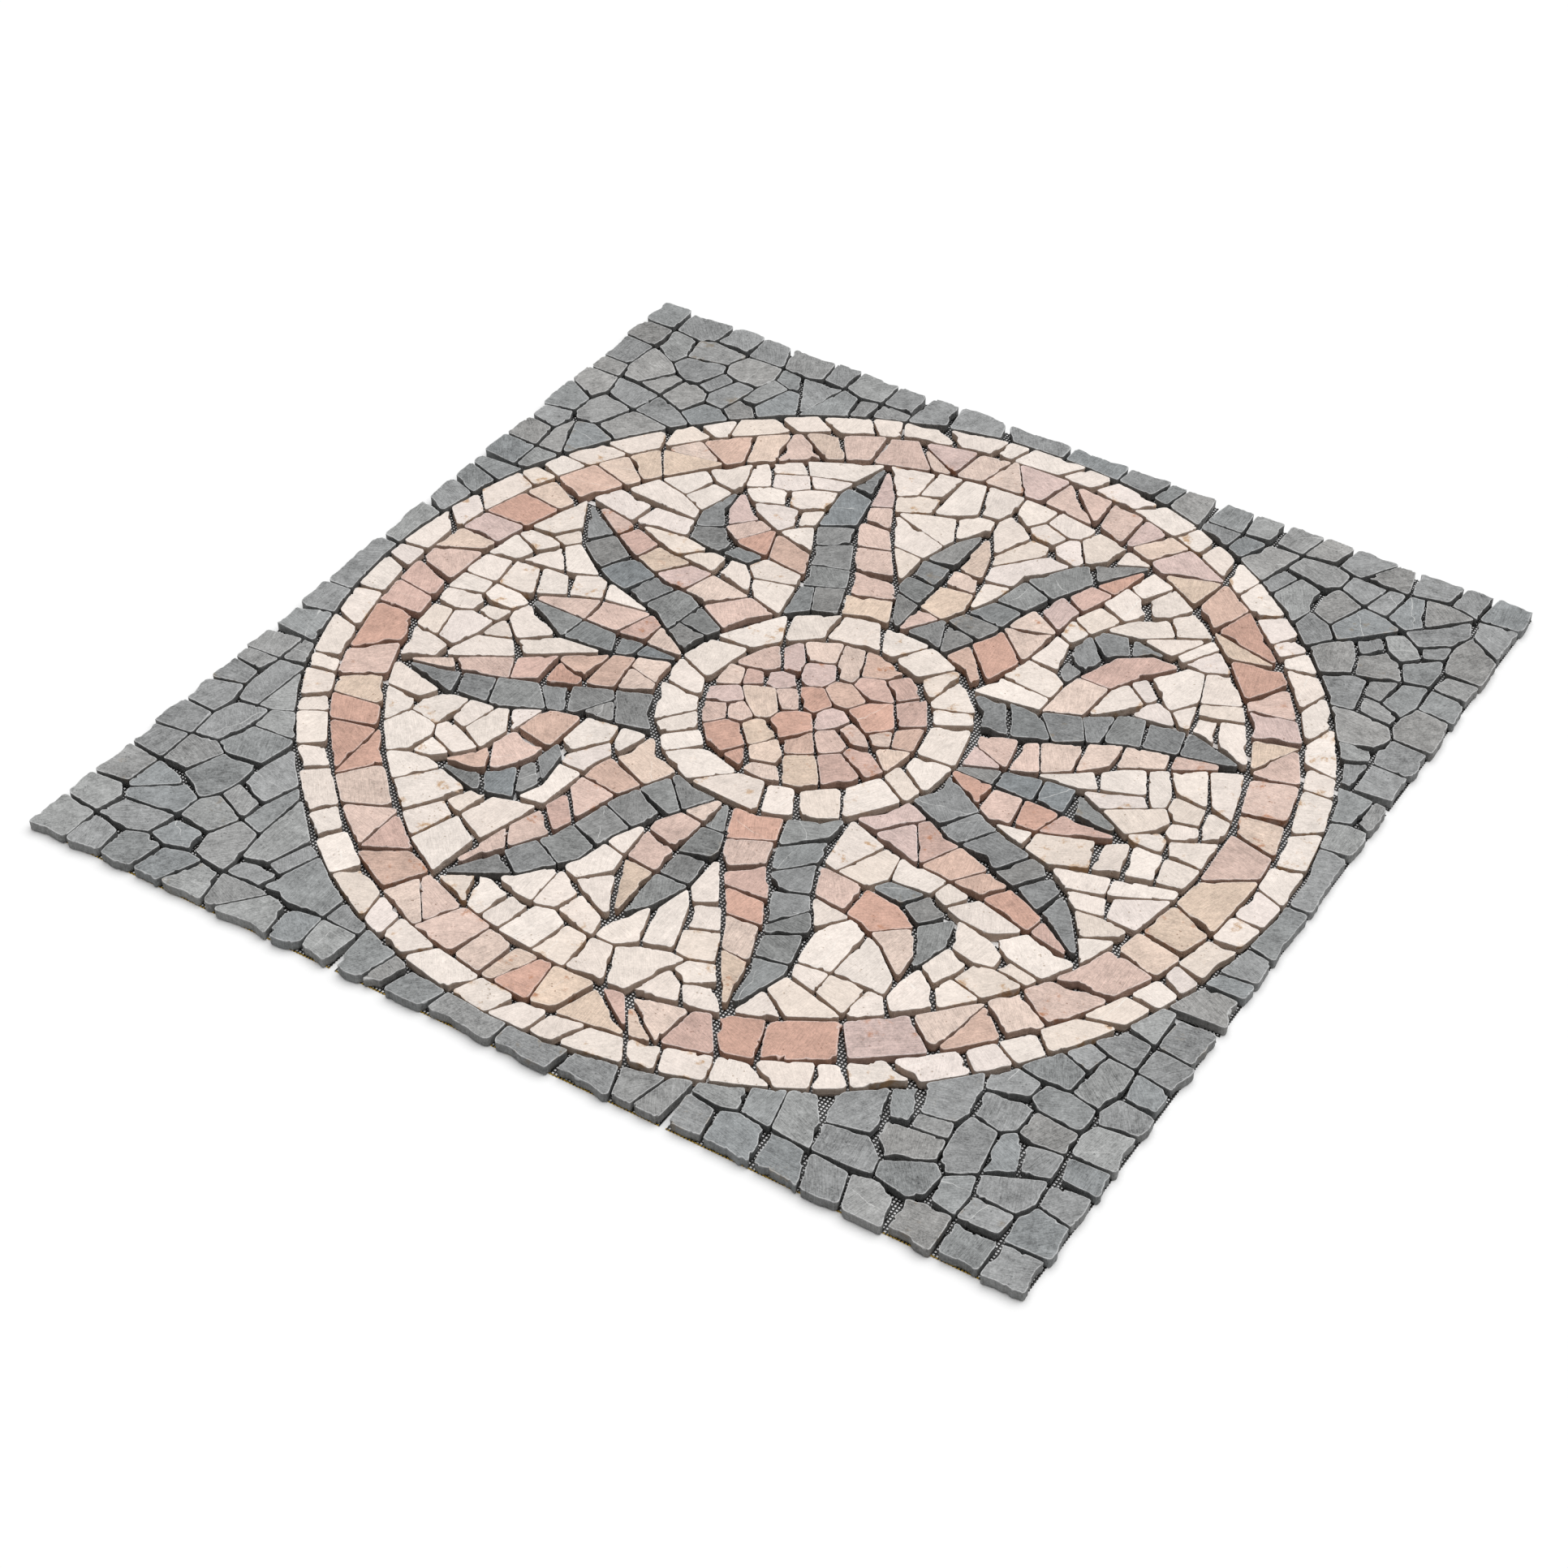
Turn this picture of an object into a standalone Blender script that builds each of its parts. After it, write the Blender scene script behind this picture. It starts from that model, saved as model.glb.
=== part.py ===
"""Sun-ray mosaic panel: nine square mats of broken marble, laid edge to edge.

Metres, +Z up. The origin is the middle of the underside, X runs along the front edge.
Points in the plan are complex numbers, x + yj, and a polygon is a list of them that runs
anticlockwise. Each motif of the picture is one solid: its stones are joined at their feet.
"""

import cmath
import math
import random

import bmesh
import bpy

# The mats: glass-fibre mesh with the stones glued on
MAT_SIDE = 0.300
MATS_ACROSS = 3
SHEET_THICKNESS = 0.0007
SHEET_MARGIN = 0.002          # the mesh stops this far inside the panel's edge
SEAM_GAP = 0.001              # between the sheets of two mats
GLUE_LINE = 0.0003            # from the sheet up to the stones

# The stones
STONE_THICKNESS = 0.009
FOOT_HEIGHT = 0.0015          # up to here the stones of one motif are joined
JOINT = 0.0006                # between two motifs, all the way down
NARROWEST_GROOVE = 0.0006     # between the tops of two stones
WIDEST_GROOVE = 0.0026
UNEVEN_CORNER = 0.0015        # the most that a top's corners fall back
WORN_CORNER = 0.0060          # and the one that is worn most

# The picture, from the panel's edge inwards
EDGE_BAND = 0.023             # grey stones where the rings come nearest to the edge
OUTER_RING_WIDTH = 0.027
ROSE_RING_WIDTH = 0.043
DISC_RADIUS = 0.095
INNER_RING_WIDTH = 0.038
RAY_WIDTH = 0.090
RAY_FOOT_GAP = 0.013          # between two large rays, where a small straight ray starts
NOTCH_WIDTH = 0.008           # at the panel's edge, where two mats meet
NOTCH_FOOT = 0.012            # the notch ends this far from the rings
CORNER_SETTLING = (0.003, 0.002, 0.006, 0.001)  # rings drawn in: back right, then anticlockwise

# What one stone measures: its length along a ring, or its area elsewhere
OUTER_RING_STONE = 0.037
ROSE_RING_STONE = 0.045
INNER_RING_STONE = 0.036
RAY_STONE = 0.036
EDGE_STONE = 0.036            # along the panel's edge, and this row's depth below
EDGE_ROW_DEPTH = 0.037
FIELD_STONE_AREA = 0.00108
SURROUND_STONE_AREA = 0.00130
DISC_STONE_AREA = 0.00076
TIP_STONE = 1.9               # the pointed stone at a ray's tip, in lengths of the others

# How stones break
SPARED = (1.2, 2.0)           # pieces of up to this many stone areas stay whole
SMALLEST_PIECE = 0.40         # no piece has less than this share of a stone's area
TRIES = 30                    # cuts compared before the best one is made
SKEW = 0.30                   # spread of a cut's angle to the side that it starts from
SHARP_CORNER = math.radians(55)
RING_STONES = (0.55, 1.45)    # least and greatest length along a ring, in shares of the mean
RING_SLANT = 0.30             # slant of the cuts across a ring, in shares of a stone's length
HALVED = 0.22                 # share of the rose ring's stones that are split corner to corner
SHORT_SIDE = 0.014

# Outlines of the rays: share of the length, then how far the ray's left edge, its spine
# and its right edge lie to the left of its middle, in shares of RAY_WIDTH
LARGE_RAY = ((0.24, 0.41, -0.03, -0.50),
             (0.38, 0.40, 0.02, -0.41),
             (0.56, 0.46, 0.05, -0.28),
             (0.78, 0.32, -0.02, -0.23))
LARGE_TIP = -0.11
SMALL_RAY = ((0.44, 0.36, 0.00, -0.34),
             (0.58, 0.20, 0.00, -0.19))
SMALL_TIP = 0.72
CURVED_LEFT = ((0.35, 0.10), (0.47, 0.45), (0.60, 0.57), (0.73, 0.39))
CURVED_SPINE = ((0.36, -0.10), (0.48, 0.12), (0.60, 0.20), (0.72, 0.12))
CURVED_RIGHT = ((0.53, -0.28), (0.66, -0.13))
CURVED_TIP = (0.84, -0.11)

HALF_PANEL = MAT_SIDE * MATS_ACROSS / 2
UNDERSIDE = SHEET_THICKNESS + GLUE_LINE
OUTER_RING_RADIUS = HALF_PANEL - EDGE_BAND
ROSE_RING_RADIUS = OUTER_RING_RADIUS - OUTER_RING_WIDTH
FIELD_RADIUS = ROSE_RING_RADIUS - ROSE_RING_WIDTH
INNER_RING_RADIUS = DISC_RADIUS + INNER_RING_WIDTH
LARGE_RAYS = 8
RAY_STEP = math.tau / (2 * LARGE_RAYS)
SNAP = 0.007                  # a cut that ends this near a corner ends in the corner
ON_LINE = 1e-7
EASING = 0.30                 # how far inner corners move to the middle of their neighbours
STRAY = 0.0015
SLIGHT_BEND = 0.18            # a bend outwards that a stone's top leaves out, in radians
SLIGHT_HOLLOW = 0.02          # and a bend inwards

dice = random.Random(17)


def cross(a, b):
    return (a.conjugate() * b).imag


def unit(vector):
    return vector / abs(vector)


def edges(polygon):
    return list(zip(polygon, polygon[1:] + polygon[:1]))


def area(polygon):
    return sum(cross(a, b) for a, b in edges(polygon)) / 2


def arc(radius, start, end, step):
    """Points round a circle from one angle to another, about one step apart."""
    count = max(1, round(abs(end - start) * radius / step))
    return [cmath.rect(radius, start + (end - start) * i / count) for i in range(count + 1)]


def arc_outside(radius, start, end, step):
    """The same with its ends on the circle, and straight lines that all clear the circle."""
    count = max(1, round(abs(end - start) * radius / step))
    half = (end - start) / (2 * count)
    between = [cmath.rect(radius / math.cos(half), start + half * (2 * i + 1))
               for i in range(count)]
    return [cmath.rect(radius, start)] + between + [cmath.rect(radius, end)]


def outside(radius, points):
    """A closed loop of points pushed out until the lines between them clear the circle."""
    steps = [abs(cmath.phase(b / a)) for a, b in edges(points)]
    return [cmath.rect(radius / math.cos(max(steps[i - 1], steps[i]) / 2), cmath.phase(point))
            for i, point in enumerate(points)]


def inset(polygon, widths):
    """Move each edge inwards by its width, and join the moved edges in new corners."""
    moved = []
    for (a, b), width in zip(edges(polygon), widths):
        shift = unit(b - a) * 1j * width
        moved.append((a + shift, unit(b - a)))
    corners = []
    for i, (point, along) in enumerate(moved):
        before, before_along = moved[i - 1]
        turn = cross(before_along, along)
        if abs(turn) < 1e-3:
            corners.append(point)
        else:
            corners.append(before + before_along * cross(point - before, along) / turn)
    return corners


def crossing(polygon, start, direction, skip):
    """The first edge that a line from start meets, and where it meets it."""
    nearest = None
    for i, (a, b) in enumerate(edges(polygon)):
        turn = cross(direction, b - a)
        if i == skip or abs(turn) < 1e-12:
            continue
        distance = cross(a - start, b - a) / turn
        share = cross(a - start, direction) / turn
        if distance > ON_LINE and 0 <= share <= 1 and (nearest is None or distance < nearest[0]):
            nearest = (distance, i, a + share * (b - a))
    return nearest


def off(point, a, b):
    """How far a point lies off the line through a and b."""
    return abs(cross(point - a, unit(b - a)))


def settle(polygon, index, point, knots):
    """A cut's end on an edge: a corner or an earlier end close by takes its place."""
    a, b = edges(polygon)[index]
    for corner in (a, b):
        if abs(point - corner) < SNAP:
            return corner
    for knot in knots:
        if abs(knot - point) < SNAP and off(knot, a, b) < ON_LINE:
            return knot
    knots.append(point)
    return point


def meet(a, b, c, d):
    """Whether the segment from a to b comes within a joint's width of the one from c to d."""
    reach = JOINT * unit(d - c)
    c, d = c - reach, d + reach
    return (cross(b - a, c - a) > 0) != (cross(b - a, d - a) > 0) and \
        (cross(d - c, a - c) > 0) != (cross(d - c, b - c) > 0)


def part_at(polygon, ends, knots):
    """Cut a polygon between two places, each given as (edge, point)."""
    ends = {index: settle(polygon, index, point, knots) for index, point in ends}
    start, end = ends.values()
    if start == end or any(meet(start, end, a, b) for a, b in edges(polygon)
                           if not {start, end} & {a, b} and
                           min(off(start, a, b), off(end, a, b)) > ON_LINE):
        return None
    loop = []
    for i, corner in enumerate(polygon):
        loop.append(corner)
        if i in ends and ends[i] not in polygon:
            loop.append(ends[i])
    first, last = sorted(loop.index(point) for point in ends.values())
    parts = loop[first:last + 1], loop[last:] + loop[:first + 1]
    if min(len(part) for part in parts) < 3 or min(area(part) for part in parts) < 1e-6:
        return None
    return parts


def shape_score(polygon):
    """How much a polygon looks like a stone: compact, without thin corners or short sides."""
    sides = [b - a for a, b in edges(polygon)]
    around = sum(abs(side) for side in sides)
    turns = [cmath.phase(b / a) for a, b in zip(sides[-1:] + sides[:-1], sides)]
    sharpest = math.pi - max(turns)
    hollow = -min(0.0, min(turns))
    shortest = min(abs(side) for side in sides)
    roundness = 4 * math.pi * area(polygon) / around ** 2
    bluntness = min(1.0, sharpest / SHARP_CORNER)
    evenness = min(1.0, shortest / SHORT_SIDE)
    return roundness + bluntness / 4 + evenness / 6 - hollow / 2


def break_up(polygon, stone_area, knots):
    """Break a polygon into stones with straight cuts, each the best of a few tries."""
    whole = area(polygon)
    if whole < stone_area * dice.uniform(*SPARED):
        return [polygon]
    best_score = -math.inf
    best_cut = None
    sides = edges(polygon)
    lengths = [abs(b - a) for a, b in sides]
    for _ in range(TRIES):
        index = dice.choices(range(len(sides)), lengths)[0]
        a, b = sides[index]
        start = a + (b - a) * dice.uniform(0.1, 0.9)
        direction = unit(b - a) * 1j * cmath.rect(1, dice.gauss(0, SKEW))
        hit = crossing(polygon, start, direction, index)
        if hit is None or abs(hit[2] - start) < SNAP or hit[1] == index:
            continue
        cut = [(index, start), hit[1:]]
        trial = part_at(polygon, cut, list(knots))
        if trial is None or min(area(part) for part in trial) < SMALLEST_PIECE * stone_area:
            continue
        score = min(shape_score(part) for part in trial)
        if whole > 4 * stone_area:
            score -= abs(area(trial[0]) - area(trial[1])) / whole / 2
        if score > best_score:
            best_score = score
            best_cut = cut
    if best_cut is None:
        return [polygon]
    parts = part_at(polygon, best_cut, knots)
    return [stone for part in parts for stone in break_up(part, stone_area, knots)]


def cut_across(polygon, inside, direction, knots):
    """Cut a polygon along a line through a point inside it, where that makes two good parts."""
    ends = [crossing(polygon, inside, way, None) for way in (direction, -direction)]
    if None in ends or ends[0][1] == ends[1][1]:
        return None
    return part_at(polygon, [end[1:] for end in ends], knots)


def slice_strip(polygon, near, far, stone_length, knots):
    """Cut a strip across, from its foot to its tip. near and far are its two long edges."""
    length = sum(abs(b - a) for a, b in zip(far, far[1:]))
    count = max(1, round(length / stone_length - TIP_STONE))
    stones = []
    for i in range(1, count + 1):
        share = (i + dice.uniform(-0.2, 0.2)) / (count + TIP_STONE)
        here = walk(near, share)
        there = walk(far, share + dice.uniform(-0.05, 0.05))
        parts = cut_across(polygon, (here + there) / 2, unit(here - there), knots)
        if parts:
            foot = min(parts, key=lambda part: min(abs(point) for point in part))
            polygon = parts[1] if foot is parts[0] else parts[0]
            stones.append(foot)
    return stones + [polygon]


def walk(line, share):
    """The point at a share of a line's length."""
    left = share * sum(abs(b - a) for a, b in zip(line, line[1:]))
    for a, b in zip(line, line[1:]):
        if left <= abs(b - a):
            return a + unit(b - a) * left
        left -= abs(b - a)
    return line[-1]


def ring(inner, outer, stone_length, halved):
    """A ring of stones with slanted cuts. halved is the share that is split corner to corner."""
    count = round(math.tau * (inner + outer) / 2 / stone_length)
    widths = [dice.uniform(*RING_STONES) for _ in range(count)]
    widths = [width * math.tau / sum(widths) for width in widths]
    angles = [sum(widths[:i]) for i in range(count)]
    leans = [dice.uniform(-RING_SLANT, RING_SLANT) * min(widths[i - 1], widths[i])
             for i in range(count)]
    low = [cmath.rect(1, angle - slant) for angle, slant in zip(angles, leans)]
    high = [cmath.rect(outer - JOINT / 2, angle + slant) for angle, slant in zip(angles, leans)]
    low = outside(inner + JOINT / 2, low)
    stones = []
    for i in range(count):
        after = (i + 1) % count
        quad = [low[i], high[i], high[after], low[after]]
        if dice.random() < halved:
            pair = (quad[:3], [quad[2], quad[3], quad[0]])
            stones += pair if dice.random() < 0.5 else (quad[1:], [quad[3], quad[0], quad[1]])
        else:
            stones.append(quad)
    return stones


def ray_point(middle, share, offset):
    """A point of a ray: a share of the way across the field, offset along the arc."""
    radius = INNER_RING_RADIUS + share * (FIELD_RADIUS - INNER_RING_RADIUS)
    return cmath.rect(radius, middle + offset / radius)


def shaken(share, offset):
    return share + dice.uniform(-0.015, 0.015), (offset + dice.uniform(-0.03, 0.03)) * RAY_WIDTH


def large_ray(number):
    """Left edge, spine and right edge of a large ray. The curved small rays stand at its left
    if number is even, and there the large rays meet at the foot."""
    middle = (2 * number + 1) * RAY_STEP
    reach = RAY_STEP * INNER_RING_RADIUS
    at_foot = (reach, RAY_FOOT_GAP / 2 - reach) if number % 2 == 0 else \
        (reach - RAY_FOOT_GAP / 2, -reach)
    lines = ([ray_point(middle, 0, at_foot[0])], [ray_point(middle, 0, 0)],
             [ray_point(middle, 0, at_foot[1])])
    for share, *offsets in LARGE_RAY:
        for line, offset in zip(lines, offsets):
            line.append(ray_point(middle, *shaken(share, offset)))
    tip = ray_point(middle, 1, LARGE_TIP * RAY_WIDTH)
    return [line + [tip] for line in lines]


def small_ray(number, before, after):
    """A straight small ray: it fills the space between its large neighbours, then narrows."""
    middle = 2 * number * RAY_STEP
    lines = (after[2][:2], [ray_point(middle, 0, 0)], before[0][:2])
    for share, *offsets in SMALL_RAY:
        for line, offset in zip(lines, offsets):
            line.append(ray_point(middle, *shaken(share, offset)))
    tip = ray_point(middle, SMALL_TIP, 0)
    return [line + [tip] for line in lines]


def curved_ray(number, before):
    """A curved small ray. It branches off the large ray on its right."""
    middle = 2 * number * RAY_STEP
    lines = [[ray_point(middle, *shaken(share, offset)) for share, offset in line]
             for line in (CURVED_LEFT, CURVED_SPINE, CURVED_RIGHT)]
    tip = ray_point(middle, CURVED_TIP[0], CURVED_TIP[1] * RAY_WIDTH)
    left, spine, right = [line + [tip] for line in lines]
    return [left, before[0][1:2] + spine, before[0][2:3] + right]


def ray_halves(ray, foot_arc):
    """The stones of a ray's left and right half."""
    left, spine, right = ray
    halves = []
    for near, far, turned in ((spine if foot_arc else spine[1:], left, False),
                              (spine, right, True)):
        foot = [near[0], far[0]]
        if foot_arc:
            angles = [cmath.phase(near[0]), cmath.phase(near[0]) + cmath.phase(far[0] / near[0])]
            foot = arc_outside(INNER_RING_RADIUS, *angles, RAY_STONE)
        outline = foot[:1] + near[1:] + far[-2:0:-1] + foot[:0:-1]
        if turned:
            outline.reverse()
        outline = inset(outline, [JOINT / 2] * len(outline))
        halves.append(slice_strip(outline, near, far, RAY_STONE, []))
    return halves


def field_patch(before, after, small, curved):
    """Cream stones between two large rays, left and right of the small ray between them."""
    left, spine, right = small
    tip = left[-1]
    top = cmath.phase(before[0][-1])
    rim = arc(FIELD_RADIUS, top, top + cmath.phase(after[2][-1] / before[0][-1]), ROSE_RING_STONE)
    away = -unit(left[-2] - tip) - unit(right[-2] - tip)
    _, index, crown = crossing(rim + [0j], tip, away, None)
    low, high = rim[index:index + 2]
    crown = low + (high - low) * max(0.2, min(0.8, abs(crown - low) / abs(high - low)))
    top_right, top_left = rim[:index + 1] + [crown, tip], [crown] + rim[index + 1:]
    if curved:
        right_half = before[0][2:-1] + top_right + right[-2:0:-1]
        left_half = top_left + after[2][-2:0:-1] + before[0][:2] + spine[1:2] + left
    else:
        right_half = before[0][1:-1] + top_right + right[-2:1:-1]
        left_half = top_left + after[2][-2:0:-1] + left[2:]
    shared = {crown, tip}
    knots = []
    stones = []
    for outline in (right_half, left_half):
        free = [0 if a in shared and b in shared else JOINT / 2 for a, b in edges(outline)]
        stones += break_up(inset(outline, free), FIELD_STONE_AREA, knots)
    return stones


def corner_of_surround(quarter):
    """Grey stones of one corner, made for the back right one and turned to its place. The notch
    of each edge parts a narrow strip, beside the rings, from the corner itself. That has a row
    of stones along both edges of the panel, and rubble inside."""
    half = HALF_PANEL
    rim = OUTER_RING_RADIUS + JOINT / 2
    notch_angle = math.asin((half - MAT_SIDE) / rim)
    beside = arc_outside(rim, 0, notch_angle, OUTER_RING_STONE)
    inside = arc_outside(rim, notch_angle, math.pi / 2 - notch_angle, OUTER_RING_STONE)
    notch = beside[-1]
    foot = notch + NOTCH_FOOT
    below = half + (foot.imag - NOTCH_WIDTH / 2) * 1j
    above = half + (foot.imag + NOTCH_WIDTH / 2) * 1j
    middle = JOINT / 2 * 1j
    strip = [rim + middle, half + middle, below, foot, notch] + beside[-2:0:-1]
    corner = [notch, foot, above, half * (1 + 1j), mirrored(above), mirrored(foot),
              mirrored(notch)] + inside[-2:0:-1]
    knots = []
    stones = []
    for outline in (strip, [mirrored(point) for point in reversed(strip)]):
        stones += break_up(outline, SURROUND_STONE_AREA, knots)
    row = half - EDGE_ROW_DEPTH
    rest, side_row = sorted(cut_across(corner, row * (1 + 1j), 1j, knots),
                            key=lambda part: max(point.real for point in part))
    rubble, back_row = sorted(cut_across(rest, half / 2 + row * 1j, 1, knots),
                              key=lambda part: max(point.imag for point in part))
    stones += break_up(side_row, EDGE_STONE * EDGE_ROW_DEPTH, knots)
    stones += break_up(back_row, EDGE_STONE * EDGE_ROW_DEPTH, knots)
    stones += break_up(rubble, SURROUND_STONE_AREA, knots)
    return [[point * 1j ** quarter for point in stone] for stone in stones]


def mirrored(point):
    """A point on the other side of the diagonal between +X and +Y."""
    return complex(point.imag, point.real)


def laid(point):
    """Each corner mat has its rings a little nearer to the centre than its neighbours."""
    radius, angle = abs(point), cmath.phase(point) % math.tau
    quarter = int(angle / (math.pi / 2)) % 4
    swing = (angle - (quarter + 0.5) * math.pi / 2) / (math.pi / 8)
    if abs(swing) >= 1 or radius < FIELD_RADIUS / 2:
        return point
    rise = (radius - FIELD_RADIUS / 2) / (FIELD_RADIUS / 2)
    fall = (math.sqrt(2) * HALF_PANEL - radius) / (math.sqrt(2) * HALF_PANEL - OUTER_RING_RADIUS)
    reach = math.sin(math.pi / 2 * max(0.0, min(1.0, rise, fall))) ** 2
    drawn_in = CORNER_SETTLING[quarter] * reach * math.cos(swing * math.pi / 2) ** 2
    on_edge = max(abs(point.real), abs(point.imag)) > HALF_PANEL - EDGE_ROW_DEPTH / 2
    return point if on_edge else point * (1 - drawn_in / radius)


def worn_top(stone):
    """A stone's top: its outline drawn in, each corner a little more, and one more still."""
    centre = sum(stone) / len(stone)
    top = inset(stone, [dice.uniform(NARROWEST_GROOVE, WIDEST_GROOVE) / 2] * len(stone))
    worn = dice.randrange(len(top))
    for i, corner in enumerate(top):
        back = dice.uniform(0, WORN_CORNER if i == worn else UNEVEN_CORNER)
        top[i] += unit(centre - corner) * min(back, abs(centre - corner) / 4)
    return top


def neighbours(stones):
    """For each corner the corners it has an edge to, and the edges of the outer rim."""
    drawn = dict.fromkeys(edge for stone in stones for edge in edges(stone))
    near = {}
    for a, b in drawn:
        near.setdefault(a, {})[b] = (b, a) in drawn
        near.setdefault(b, {})[a] = (b, a) in drawn
    return near, [(a, b) for a, b in drawn if (b, a) not in drawn]


def eased(stones):
    """Inner corners moved part of the way to the middle of their neighbours, so that no long
    line runs straight through several stones."""
    near, rim = neighbours(stones)
    held = {point for edge in rim for point in edge}
    place_of = {}
    for point, others in near.items():
        middle = sum(others) / len(others)
        stray = cmath.rect(dice.uniform(0, STRAY), dice.uniform(0, math.tau))
        moved = point + EASING * (middle - point) + stray
        past_rim = any(other not in edge and meet(moved, other, *edge)
                       for other in others for edge in rim)
        place_of[point] = point if point in held or past_rim else moved
    return [[place_of[point] for point in stone] for stone in stones]


def stone_mesh(name, stones):
    """One closed mesh: the feet joined in a bed, and each stone tapering up to its top.
    The grooves between the stones run down to the sheet where they can, at the rim."""
    stones = [[laid(point) for point in stone] for stone in eased(tie(stones))]
    near, rim = neighbours(stones)
    mesh = bmesh.new()
    low = {}
    for point, _ in rim:
        if not any(inner and other in low for other, inner in near[point].items()):
            low[point] = mesh.verts.new((point.real, point.imag, UNDERSIDE))
    feet = {point: low[point] if point in low else
            mesh.verts.new((point.real, point.imag, UNDERSIDE + FOOT_HEIGHT)) for point in near}
    soles = {point: feet[point] if point in low else
             mesh.verts.new((point.real, point.imag, UNDERSIDE)) for point, _ in rim}
    for a, b in rim:
        wall = dict.fromkeys((soles[a], soles[b], feet[b], feet[a]))
        if len(wall) > 2:
            mesh.faces.new(wall)
    for a, b in rim:
        if (soles[a], soles[b]) == (feet[a], feet[b]):
            mesh.edges.new((soles[a], soles[b]))
    lowest = [mesh.edges.get((soles[a], soles[b])) for a, b in rim]
    filled = bmesh.ops.triangle_fill(mesh, edges=lowest, use_beauty=False, use_dissolve=False)
    sole = [item for item in filled["geom"] if isinstance(item, bmesh.types.BMFace)]
    bmesh.ops.recalc_face_normals(mesh, faces=sole)
    if sum(face.normal.z * face.calc_area() for face in sole) > 0:
        bmesh.ops.reverse_faces(mesh, faces=sole)
    for stone in stones:
        corners = [i for i, point in enumerate(stone) if not straight(stone, i)]
        outline = [stone[i] for i in corners]
        tops = [mesh.verts.new((point.real, point.imag, UNDERSIDE + STONE_THICKNESS))
                for point in worn_top(outline)]
        mesh.faces.new(tops)
        for n, start in enumerate(corners):
            end = corners[(n + 1) % len(corners)]
            chain = [feet[stone[(start + k) % len(stone)]]
                     for k in range((end - start) % len(stone) + 1)]
            after = tops[(n + 1) % len(tops)]
            for here, there in zip(chain, chain[1:]):
                mesh.faces.new((here, there, tops[n]))
            mesh.faces.new((chain[-1], after, tops[n]))
    data = bpy.data.meshes.new(name)
    mesh.to_mesh(data)
    mesh.free()
    return data


def straight(stone, index):
    """Whether a stone's outline runs nearly straight on at a point and doesn't bend inwards."""
    here, before, after = stone[index], stone[index - 1], stone[(index + 1) % len(stone)]
    return -SLIGHT_HOLLOW < cross(unit(here - before), unit(after - here)) < SLIGHT_BEND


def tie(stones):
    """Give each stone the points where its neighbours' cuts end on its edges."""
    stones = [[complex(round(point.real, 9), round(point.imag, 9)) for point in stone]
              for stone in stones]
    points = dict.fromkeys(point for stone in stones for point in stone)
    tied = []
    for stone in stones:
        loop = []
        for a, b in edges(stone):
            along = unit(b - a)
            inner = [point for point in points if off(point, a, b) < ON_LINE
                     and ON_LINE < ((point - a) * along.conjugate()).real < abs(b - a) - ON_LINE]
            loop += [a] + sorted(inner, key=lambda point: abs(point - a))
        tied.append(loop)
    return tied


def finish(name, colour, roughness):
    material = bpy.data.materials.new(name)
    material.use_nodes = True
    shader = material.node_tree.nodes["Principled BSDF"]
    shader.inputs["Base Color"].default_value = (*colour, 1)
    shader.inputs["Roughness"].default_value = roughness
    shader.inputs["Metallic"].default_value = 0
    return material


def place(name, data, material):
    item = bpy.data.objects.new(name, data)
    item.data.materials.append(material)
    panel.objects.link(item)
    return item


def sheet_mesh(name, width, depth):
    mesh = bmesh.new()
    bmesh.ops.create_cube(mesh, size=1)
    bmesh.ops.scale(mesh, vec=(width, depth, SHEET_THICKNESS), verts=mesh.verts)
    data = bpy.data.meshes.new(name)
    mesh.to_mesh(data)
    mesh.free()
    return data


for old in list(bpy.data.objects):
    bpy.data.objects.remove(old, do_unlink=True)
panel = bpy.data.collections.new("mosaic_panel")
bpy.context.scene.collection.children.link(panel)

GREY = finish("grey_marble", (0.235, 0.250, 0.250), 0.6)
CREAM = finish("cream_marble", (0.80, 0.69, 0.58), 0.5)
ROSE = finish("rose_marble", (0.66, 0.44, 0.36), 0.5)
YARN = finish("glass_fibre_mesh", (0.013, 0.012, 0.011), 0.4)

# The sheets of mesh, one for each mat, front row first
for row, depth_name in enumerate(("front", "middle", "back")):
    for column, side_name in enumerate(("left", "middle", "right")):
        low = [-HALF_PANEL + MAT_SIDE * i + (SHEET_MARGIN if i == 0 else SEAM_GAP / 2)
               for i in (column, row)]
        high = [-HALF_PANEL + MAT_SIDE * (i + 1) - (SHEET_MARGIN if i == MATS_ACROSS - 1
                                                    else SEAM_GAP / 2) for i in (column, row)]
        label = f"mesh_sheet_{depth_name}_{side_name}"
        sheet = place(label, sheet_mesh(label, high[0] - low[0], high[1] - low[1]), YARN)
        sheet.location = ((low[0] + high[0]) / 2, (low[1] + high[1]) / 2, SHEET_THICKNESS / 2)

# The rings and the disc, from the outside in
place("outer_cream_ring",
      stone_mesh("outer_cream_ring", ring(ROSE_RING_RADIUS, OUTER_RING_RADIUS,
                                          OUTER_RING_STONE, 0)), CREAM)
place("rose_ring",
      stone_mesh("rose_ring", ring(FIELD_RADIUS, ROSE_RING_RADIUS,
                                   ROSE_RING_STONE, HALVED)), ROSE)
place("inner_cream_ring",
      stone_mesh("inner_cream_ring", ring(DISC_RADIUS, INNER_RING_RADIUS,
                                          INNER_RING_STONE, 0)), CREAM)
disc = arc(DISC_RADIUS - JOINT / 2, 0, math.tau, INNER_RING_STONE)[:-1]
place("rose_centre_disc", stone_mesh("rose_centre_disc", break_up(disc, DISC_STONE_AREA, [])), ROSE)

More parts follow.
